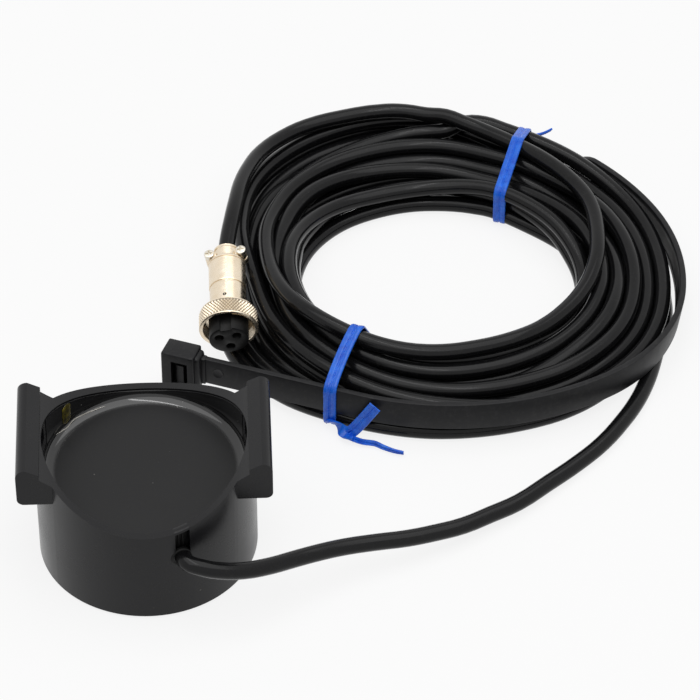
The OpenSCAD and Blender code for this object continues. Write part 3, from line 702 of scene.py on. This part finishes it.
def strap_head():
    """Locking head: rounded block with a window, two slots and a tongue, and a shoulder to the band."""
    shape = bmesh.new()
    box(shape, (-10, -4.4, -6.5), (0, 2.8, 6.5), 0.55, 3)
    for x in (-6.9, -5.5, -3.0, -1.9):
        cut(shape, (x, 0, 0), (1, 0, 0))
    for z in (-4.7, 3.0, 3.9):
        cut(shape, (0, 0, z), (0, 0, 1))

    def in_slot(face):
        middle = face.calc_center_median()
        if face.normal.y > -0.9 or middle.y > -4.3 or not -4.7 < middle.z < 3.9:
            return False
        return -6.9 < middle.x < -5.5 or -3.0 < middle.x < -1.9 or (middle.z > 3.0 and -6.9 < middle.x < -1.9)

    def on_tongue(face):
        middle = face.calc_center_median()
        return face.normal.y < -0.9 and -5.5 < middle.x < -3.0 and -4.7 < middle.z < 3.0 and middle.y < -4.3
    sink(shape, in_slot, (0, 3.4, 0))
    sink(shape, on_tongue, (0, 0.7, 0))
    box(shape, (-1.2, -3.4, -5.8), (1.4, 2.2, 5.8), 1.2, 4)
    box(shape, (0.2, -1.4, -4.7), (2.6, 1.1, 4.7), 0.5, 2)
    verts = bmesh.ops.create_cone(shape, cap_ends=True, segments=28, radius1=1.7, radius2=1.55,
                                  depth=0.3)["verts"]
    bmesh.ops.rotate(shape, cent=(0, 0, 0), matrix=Matrix.Rotation(math.radians(90), 3, "X"), verts=verts)
    bmesh.ops.translate(shape, vec=(6.4, -STRAP_T / 2 - 0.05, 0.3), verts=verts)
    mark = [f for f in shape.faces if f.normal.y < -0.9 and len(f.verts) == 28]
    bmesh.ops.inset_region(shape, faces=mark, thickness=0.35, depth=0)
    bmesh.ops.translate(shape, vec=(0, 0.16, 0), verts=list({v for f in mark for v in f.verts}))
    place = STRAP_PLACE @ Matrix.Translation(STRAP_FROM) @ Matrix.Rotation(STRAP_TURN, 4, "Z")
    bmesh.ops.transform(shape, matrix=place, verts=shape.verts)
    return shape


band = bmesh.new()
strap_band(band)
piece("mounting_strap_band", band, "strap_nylon", stands_for=["mounting_strap"], sharp=35)
piece("mounting_strap_head", strap_head(), "strap_nylon", stands_for=["mounting_strap"], sharp=35)

# Moulded cup with its edges eased
def eased_cup():
    """The cup's own solid, merged into one mesh; its edges are rounded as a mould leaves them by the bevel
    added below.
    """
    shape = bmesh.new()
    shape.from_mesh(frame["nodes"]["housing"].data)
    bmesh.ops.remove_doubles(shape, verts=shape.verts, dist=2e-6)
    bmesh.ops.dissolve_limit(shape, angle_limit=math.radians(0.5), verts=shape.verts, edges=shape.edges)
    bmesh.ops.scale(shape, vec=(1000, 1000, 1000), verts=shape.verts)
    return shape


cup = piece("moulded_cup", eased_cup(), "housing_plastic", sharp=30, stands_for=["housing"])
ease = cup.modifiers.new("eased_edges", "BEVEL")
ease.limit_method = "ANGLE"
ease.angle_limit = math.radians(32)
ease.width = 0.45 * MM
ease.segments = 3
even = cup.modifiers.new("even_shading", "WEIGHTED_NORMAL")
even.keep_sharp = True


# Poured resin inside the cup
RIM_H, SADDLE_R = 31.2, 44.4


def poured_skin():
    """Level surface that climbs the wall in a hollow curve."""
    top = [(0.4, 27.74), (8, 27.74), (16, 27.74), (22, 27.74), (24.2, 27.75), (25.2, 27.8), (25.9, 27.9),
           (26.5, 28.05), (27, 28.26), (27.4, 28.52), (27.7, 28.84), (27.93, 29.2), (28.06, 29.55),
           (28.13, 29.9), (28.15, 30.2)]
    shape = bmesh.new()
    turned(shape, top + [(28.15, 26.4), (0.4, 26.4)], steps=120)
    bmesh.ops.remove_doubles(shape, verts=shape.verts, dist=1e-4)
    tube = [f for f in shape.faces if all(math.hypot(v.co.x, v.co.y) < 1 for v in f.verts)]
    bmesh.ops.delete(shape, geom=tube, context="FACES_ONLY")
    for upper in (True, False):
        hole = [e for e in shape.edges if e.is_boundary and all((v.co.z > 27) == upper for v in e.verts)]
        bmesh.ops.contextual_create(shape, geom=hole)
    return shape


def wall_film():
    """Film of resin left on the back of the inner wall, up to just below the rim."""
    shape = bmesh.new()
    turned(shape, [(28.08, 29.4), (28.17, 29.4), (28.17, 31), (28.15, 31.05), (28.08, 31)],
           steps=80, angle=148, start=16)
    for v in shape.verts:
        if v.co.z > 30:
            rise = SADDLE_R - math.sqrt(SADDLE_R ** 2 - v.co.x ** 2)
            bmesh.ops.translate(shape, vec=(0, 0, rise - 0.5), verts=[v])
    return shape


def smear(points, wide, width, thick):
    """A thin run of resin along a few points, tapered at both ends."""
    shape = bmesh.new()
    route = curve_through(points, 0.5)
    angles = np.linspace(0, 2 * math.pi, 12, endpoint=False)
    outline = [(width / 2 * math.cos(a), thick * math.sin(a)) for a in angles]
    rows = sweep(shape, outline, frames_along(route, wide))
    last = len(rows) - 1
    for k, row in enumerate(rows):
        share = min(1.0, 0.25 + 1.6 * math.sin(math.pi * k / last))
        at = route[k]
        bmesh.ops.scale(shape, vec=(share, share, share), verts=row, space=Matrix.Translation(-at))
    return shape


piece("poured_resin", poured_skin(), "potting_resin", sharp=60, stands_for=["potting"])
piece("resin_wall_film", wall_film(), "potting_resin", sharp=60)
# Smear of amber resin on the inner wall; its bright amber is partly a painted glow of light through the thin
# resin
amber = smear([(-21.7, 17.58, 28.9), (-21.7, 17.6, 31), (-21.7, 17.6, 33.6), (-21.66, 17.56, 36.0)],
              (-.63, -.777, 0), 3.6, 0.24)
piece("amber_resin_smear", amber, "potting_resin", sharp=60, material=AMBER_WITH_PAINTED_GLOW)
# Thin bead along the resin's uneven edge; its pale colour is a painted highlight
bead = smear([(-24.8, 12.75, 29.17), (-21.8, 16.15, 28.42), (-20.65, 17.95, 28.56), (-19.45, 19.4, 28.68),
              (-16, 21.95, 28.44), (-11, 24.6, 28.28)], (0, 0, 1), 0.34, 0.16)
piece("resin_bead_painted_highlight", bead, "potting_resin", sharp=60, material=BEAD_PAINTED_HIGHLIGHT)


# The cable's outlet: bridge of the rim, ribs of resin in the slot, and a collar, the ribs and collar darkened
# with painted shade
OUTLET_TURN = math.degrees(OUTLET) - 90
AT_OUTLET = Matrix.Rotation(math.radians(OUTLET_TURN), 4, "Z")


def rim_bridge():
    """Thin bridge of the rim over the slot, following the saddle."""
    shape = bmesh.new()
    turned(shape, [(28.2, -.9), (30.42, -.9), (30.47, -.45), (30.34, -.14), (30.05, 0), (28.6, 0),
                   (28.2, -.15)],
           steps=10, angle=8.4, start=OUTLET_TURN - 4.2)
    for v in shape.verts:
        rise = SADDLE_R - math.sqrt(SADDLE_R ** 2 - v.co.x ** 2)
        bmesh.ops.translate(shape, vec=(0, 0, RIM_H + rise), verts=[v])
    return shape


def outlet_filling():
    """Ribs of resin left in the slot, and the collar round the cable."""
    shape = bmesh.new()
    turned(shape, [(2.2, -.8), (3, -.8), (3.05, .1), (2.9, .3), (2.6, .38), (2.3, .3)], steps=40)
    place = Matrix.Translation((30.25, -0.5, 22.25)) @ Matrix.Rotation(math.radians(90), 4, "Y")
    bmesh.ops.transform(shape, matrix=place, verts=shape.verts)
    box(shape, (28.0, -2.08, 24.4), (28.7, 2.08, 31.7), 0.1)
    for across in (-0.9, 0.25):
        box(shape, (28.4, across, 24.6), (29.15, across + 0.5, 31.3), 0.18)
    bmesh.ops.transform(shape, matrix=AT_OUTLET, verts=shape.verts)
    return shape


piece("rim_bridge", rim_bridge(), "housing_plastic", sharp=60)
# Ribs and collar take the darker, duller insulator finish instead of the resin's: painted shade for the
# shadowed recess round the cable
piece("outlet_filling", outlet_filling(), "potting_resin", sharp=40, stands_for=["potting"],
      material=FINISH["black_phenolic"])


# Locking plug, tilted down on the lowest strand and rolled a little
PLUG_PLACE = (Matrix.Translation((24, 99.4, 18.25)) @ Matrix.Rotation(math.radians(99.4), 4, "X")
              @ Matrix.Rotation(math.radians(10), 4, "Z"))
KNURL_FROM, KNURL_TO = 24.15, 28.95


def knurled_nickel():
    """Nickel with painted shade: darker in the grooves between the knurl's diamonds."""
    material = nickel_plate("knurled_nickel_plate")
    nodes, links = material.node_tree.nodes, material.node_tree.links
    shader = nodes["Principled BSDF"]
    back = PLUG_PLACE.inverted()
    spot = place_on(nodes, links, turn=back.to_euler(), at=back.translation * MM)
    reach = from_middle(nodes, links, spot)
    apart = nodes.new("ShaderNodeSeparateXYZ")
    links.new(spot, apart.inputs[0])
    along = nodes.new("ShaderNodeMath")
    along.operation = "COMPARE"
    along.inputs[1].default_value = (KNURL_FROM + KNURL_TO) / 2 * MM
    along.inputs[2].default_value = (KNURL_TO - KNURL_FROM) / 2 * MM
    links.new(apart.outputs["Z"], along.inputs[0])
    outside = maths(nodes, links, "GREATER_THAN", reach, 8.1 * MM)
    on_knurl = maths(nodes, links, "MULTIPLY", along.outputs[0], outside)
    # Painted shade: the base colour darkens towards the knurl's root, where shade falls between the diamonds
    depth = spread(nodes, links, reach, 8.30 * MM, 8.50 * MM, 0.85, 0.0)
    bare = shader.inputs["Base Color"].links[0].from_socket
    groove_shade = maths(nodes, links, "MULTIPLY", on_knurl, depth)
    links.new(colour_over(nodes, links, bare, (0.14, 0.115, 0.085), groove_shade), shader.inputs["Base Color"])
    return material


def plug_piece(name, shape, slot, nodes, body="transducer", sharp=35, material=None):
    """A piece made along the plug's own axis, moved to its place."""
    bmesh.ops.remove_doubles(shape, verts=shape.verts, dist=1e-4)
    bmesh.ops.transform(shape, matrix=PLUG_PLACE, verts=shape.verts)
    return piece(name, shape, slot, body=body, sharp=sharp, stands_for=nodes, material=material)


def clamp_ears(shape, low, high):
    """Two rounded ears for the clamp's screws, between two heights."""
    for side in (-1, 1):
        made = bmesh.ops.create_circle(shape, cap_ends=True, segments=24, radius=1.5)["verts"]
        bmesh.ops.rotate(shape, cent=(0, 0, 0), matrix=Matrix.Rotation(math.radians(90), 3, "X"), verts=made)
        inner = [v for v in made if v.co.x < -0.3]
        bmesh.ops.translate(shape, vec=(-0.7, 0, 0), verts=inner)
        bmesh.ops.scale(shape, vec=(side, 1, 1), verts=made)
        bmesh.ops.translate(shape, vec=(side * 4.7, low, 3.0), verts=made)
        face = made[0].link_faces[:]
        grown = bmesh.ops.extrude_face_region(shape, geom=face)["geom"]
        top = [v for v in grown if isinstance(v, bmesh.types.BMVert)]
        bmesh.ops.translate(shape, vec=(0, high - low, 0), verts=top)
        rim = [e for e in grown if isinstance(e, bmesh.types.BMEdge)]
        bmesh.ops.bevel(shape, geom=rim, offset=0.25, segments=2, profile=0.5, affect="EDGES", material=-1)


def screw_head(shape, radius, height, slots, at, upward):
    """Domed screw head with a straight or a cross slot."""
    one = bmesh.new()
    bmesh.ops.create_circle(one, cap_ends=True, segments=32, radius=radius)
    grown = bmesh.ops.extrude_face_region(one, geom=one.faces[:])["geom"]
    top = [v for v in grown if isinstance(v, bmesh.types.BMVert)]
    bmesh.ops.translate(one, vec=(0, 0, height), verts=top)
    rim = [e for e in grown if isinstance(e, bmesh.types.BMEdge)]
    bmesh.ops.bevel(one, geom=rim, offset=0.3 * radius, segments=3, profile=0.6, affect="EDGES", material=-1)
    half, reach = 0.16 * radius, 0.68 * radius
    for x in (-reach, -half, half, reach):
        cut(one, (x, 0, 0), (1, 0, 0))
        cut(one, (0, x, 0), (0, 1, 0))

    def in_slot(face):
        middle = face.calc_center_median()
        x, y = abs(middle.x), abs(middle.y)
        return face.normal.z > 0.99 and middle.z > 0.9 * height and (
            (x < half and y < reach) or (slots == 2 and y < half and x < reach))
    bmesh.ops.recalc_face_normals(one, faces=one.faces)
    sink(one, in_slot, (0, 0, -0.45 * height))
    bmesh.ops.transform(one, matrix=Matrix.Translation(at) @ upward.to_4x4(), verts=one.verts)
    held = bpy.data.meshes.new("screw_head")
    one.to_mesh(held)
    one.free()
    shape.from_mesh(held)
    bpy.data.meshes.remove(held)


def knurled_ring():
    """Coupling ring: diamond knurl outside, plain lips, and a thread inside."""
    shape = bmesh.new()
    root, crest = 8.32, 8.70
    rows = [KNURL_FROM + (KNURL_TO - KNURL_FROM) * k / 4 for k in range(5)]
    turned(shape, [(5.53, 23.7), (8.0, 23.7), (8.3, 23.82)] + [(root, z) for z in rows] + [
        (8.62, 29.02), (8.68, 29.2), (8.6, 29.42), (8.35, 29.5), (7.8, 29.5), (7.58, 29.38), (7.5, 29.1),
        (7.5, 25.2), (7.4, 25.1), (5.53, 25.1)], steps=54)
    bmesh.ops.remove_doubles(shape, verts=shape.verts, dist=1e-4)

    def on_knurl(point):
        return math.hypot(point.x, point.y) > root - 0.1 and KNURL_FROM - 0.01 < point.z < KNURL_TO + 0.01
    squares = [f for f in shape.faces if all(on_knurl(v.co) for v in f.verts)]
    inside = list({e for f in squares for e in f.edges if all(g in squares for g in e.link_faces)})
    bmesh.ops.poke(shape, faces=squares)
    bmesh.ops.dissolve_edges(shape, edges=[e for e in inside if e.is_valid], use_verts=False)
    diamonds = [f for f in shape.faces if all(on_knurl(v.co) for v in f.verts)]
    tips = bmesh.ops.poke(shape, faces=[f for f in diamonds if len(f.verts) == 4])["verts"]
    for v in shape.verts:
        if on_knurl(v.co):
            r = math.hypot(v.co.x, v.co.y)
            grow = (crest if v in tips else root) / r
            v.co.x, v.co.y = v.co.x * grow, v.co.y * grow
    turns, per_turn, pitch = 3.2, 40, 1.0
    flank = [shape.verts.new((r, 0, z)) for r, z in ((7.56, 25.5), (7.1, 25.92), (7.56, 26.34))]
    edges = [shape.edges.new((flank[k], flank[(k + 1) % 3])) for k in range(3)]
    bmesh.ops.contextual_create(shape, geom=edges)
    ends = [f for f in shape.faces if set(f.verts) == set(flank)]
    bmesh.ops.spin(shape, geom=flank + edges + ends, cent=(0, 0, 0), axis=AXIS, dvec=(0, 0, pitch / per_turn),
                   angle=2 * math.pi * turns, steps=int(turns * per_turn), use_merge=False, use_duplicate=False)
    return shape


def shell():
    """Turned shell: rounded shoulder, groove at the joint, flange, and the clamp's lower half."""
    shape = bmesh.new()
    turned(shape, [(2.55, 4.8), (4.5, 4.8), (4.95, 4.9), (5.27, 5.15), (5.42, 5.55), (5.45, 5.8), (5.45, 6.0),
                   (5.26, 6.06), (5.26, 6.24), (5.45, 6.3), (5.45, 6.6), (5.45, 14.25), (5.45, 14.55),
                   (5.40, 14.68), (5.18, 14.72), (5.18, 15.05), (5.27, 15.12), (5.30, 15.25), (5.30, 15.5),
                   (5.30, 22.35), (5.30, 22.6), (5.36, 22.75), (5.45, 22.85), (5.45, 25.4), (6.7, 25.4),
                   (6.7, 26.6), (4.6, 26.6), (4.6, 6.5), (2.55, 6.5)], steps=96)
    turned(shape, CLAMP_ARCH, steps=30, angle=172, start=184)
    clamp_ears(shape, -2.1, -0.25)
    return shape


def insulator():
    """Moulded insulator: keyway on top and three countersunk contact holes."""
    shape = bmesh.new()
    edges = []

    def loop(points):
        verts = [shape.verts.new((x, y, 33.3)) for x, y in points]
        edges.extend(shape.edges.new((verts[k], verts[(k + 1) % len(verts)])) for k in range(len(verts)))
    radius, key_half, hole_r, holes_at, count = 5.8, 1.7, 1.3, 3, 72
    side = math.asin(key_half / radius)
    sweep_angle = 2 * math.pi - 2 * side
    round_edge = [side + sweep_angle * k / count for k in range(count + 1)]
    loop([(radius * math.sin(a), radius * math.cos(a)) for a in round_edge] + [
        (-key_half, 4.75), (-1.5, 4.6), (1.5, 4.6), (key_half, 4.75)])
    for place in (30, 150, 270):
        x, y = holes_at * math.cos(math.radians(place)), holes_at * math.sin(math.radians(place))
        loop([(x + hole_r * math.cos(2 * math.pi * k / 24), y + hole_r * math.sin(2 * math.pi * k / 24))
              for k in range(24)])
    bmesh.ops.triangle_fill(shape, use_beauty=True, edges=edges)
    grown = bmesh.ops.extrude_face_region(shape, geom=shape.faces[:])["geom"]
    back = [v for v in grown if isinstance(v, bmesh.types.BMVert)]
    bmesh.ops.translate(shape, vec=(0, 0, -6.7), verts=back)
    bmesh.ops.recalc_face_normals(shape, faces=shape.faces)
    rim = [e for e in shape.edges if all(v.co.z > 33.2 for v in e.verts) and e.calc_face_angle(0) > 1]
    bmesh.ops.bevel(shape, geom=rim, offset=0.28, segments=2, profile=0.5, affect="EDGES", material=-1)
    return shape


CLAMP_ARCH = [(2.5, .2), (3.55, .2), (3.78, .4), (3.78, .9), (3.5, 1.15), (3.5, 4.0), (3.78, 4.2), (3.78, 4.5),
              (3.6, 4.62), (2.5, 4.62)]
UPWARD = Matrix.Rotation(math.radians(-90), 3, "X")
ring = plug_piece("knurled_coupling_ring", knurled_ring(), "nickel_plate", ["coupling_ring"], "coupling", 20,
                  material=knurled_nickel())
plug_body = plug_piece("turned_plug_shell", shell(), "nickel_plate", ["plug_shell"])
saddle = bmesh.new()
turned(saddle, CLAMP_ARCH, steps=30, angle=172, start=4)
clamp_ears(saddle, 0.25, 2.1)
clamp = plug_piece("cable_clamp_bar", saddle, "nickel_plate", ["clamp_bar"])
heads = bmesh.new()
for side in (-1, 1):
    screw_head(heads, 1.55, 1.4, 2, (side * 4.7, 2.05, 3.0), UPWARD)
clamp_heads = plug_piece("clamp_screw_heads", heads, "screw_steel", ["clamp_screws"])
dot = bmesh.new()
screw_head(dot, 0.55, 0.26, 1, (0, 5.12, 20.3), UPWARD)
set_screw = plug_piece("shell_set_screw", dot, "screw_steel", ["shell_screw"], material=DARK_SCREW)
insert = plug_piece("keyed_insulator", insulator(), "black_phenolic", ["plug_insert"])


# Floor and studio light
floor_shape = bmesh.new()
bmesh.ops.create_grid(floor_shape, x_segments=1, y_segments=1, size=6)
floor_mesh = bpy.data.meshes.new("studio_floor")
floor_shape.to_mesh(floor_mesh)
floor_shape.free()
studio_floor = bpy.data.objects.new("studio_floor", floor_mesh)
scene.collection.objects.link(studio_floor)

FLOOR_GLOW = 0.84


def seen_itself(nodes, links):
    """1 for what the camera sees, straight or mirrored in the object."""
    rays = nodes.new("ShaderNodeLightPath")
    return maths(nodes, links, "MAXIMUM", rays.outputs["Is Camera Ray"], rays.outputs["Is Glossy Ray"])


def blend(nodes, links, share, first, second, end):
    """Two shaders mixed by a share and led to a tree's output."""
    mix = nodes.new("ShaderNodeMixShader")
    links.new(share, mix.inputs["Fac"])
    links.new(first.outputs[0], mix.inputs[1])
    links.new(second.outputs[0], mix.inputs[2])
    links.new(mix.outputs[0], nodes[end].inputs["Surface"])


paper = bpy.data.materials.new("white_paper_floor")
paper.use_nodes = True
nodes, links = paper.node_tree.nodes, paper.node_tree.links
nodes.remove(nodes["Principled BSDF"])
matt = nodes.new("ShaderNodeBsdfDiffuse")
matt.inputs["Color"].default_value = (0.9, 0.9, 0.9, 1)
glow = nodes.new("ShaderNodeEmission")
glow.inputs["Strength"].default_value = 1.0
glow_share = maths(nodes, links, "MULTIPLY", seen_itself(nodes, links), FLOOR_GLOW)
blend(nodes, links, glow_share, matt, glow, "Material Output")
floor_mesh.materials.append(paper)

world = bpy.data.worlds.new("studio_room")
scene.world = world
world.use_nodes = True
nodes, links = world.node_tree.nodes, world.node_tree.links
room = nodes["Background"]
room.inputs["Color"].default_value = (1, 1, 1, 1)
room.inputs["Strength"].default_value = 0.3
white = nodes.new("ShaderNodeBackground")
white.inputs["Color"].default_value = (1, 1, 1, 1)
white.inputs["Strength"].default_value = 1.0
blend(nodes, links, seen_itself(nodes, links), room, white, "World Output")


def soft_light(name, at, aim, size, watts):
    """A rectangular lamp turned towards a point."""
    lamp = bpy.data.lights.new(name, "AREA")
    lamp.shape = "RECTANGLE"
    lamp.size, lamp.size_y = size
    lamp.energy = watts
    obj = bpy.data.objects.new(name, lamp)
    obj.location = at
    obj.rotation_euler = (Vector(aim) - Vector(at)).to_track_quat("-Z", "Y").to_euler()
    scene.collection.objects.link(obj)


soft_light("top_soft_box", (0.1, -0.05, 1.3), (0.07, 0.06, 0), (2.0, 1.6), 13.5)
soft_light("top_strip", (0.02, 0.05, 1.25), (0.05, 0.06, 0), (1.2, 0.06), 1.7)
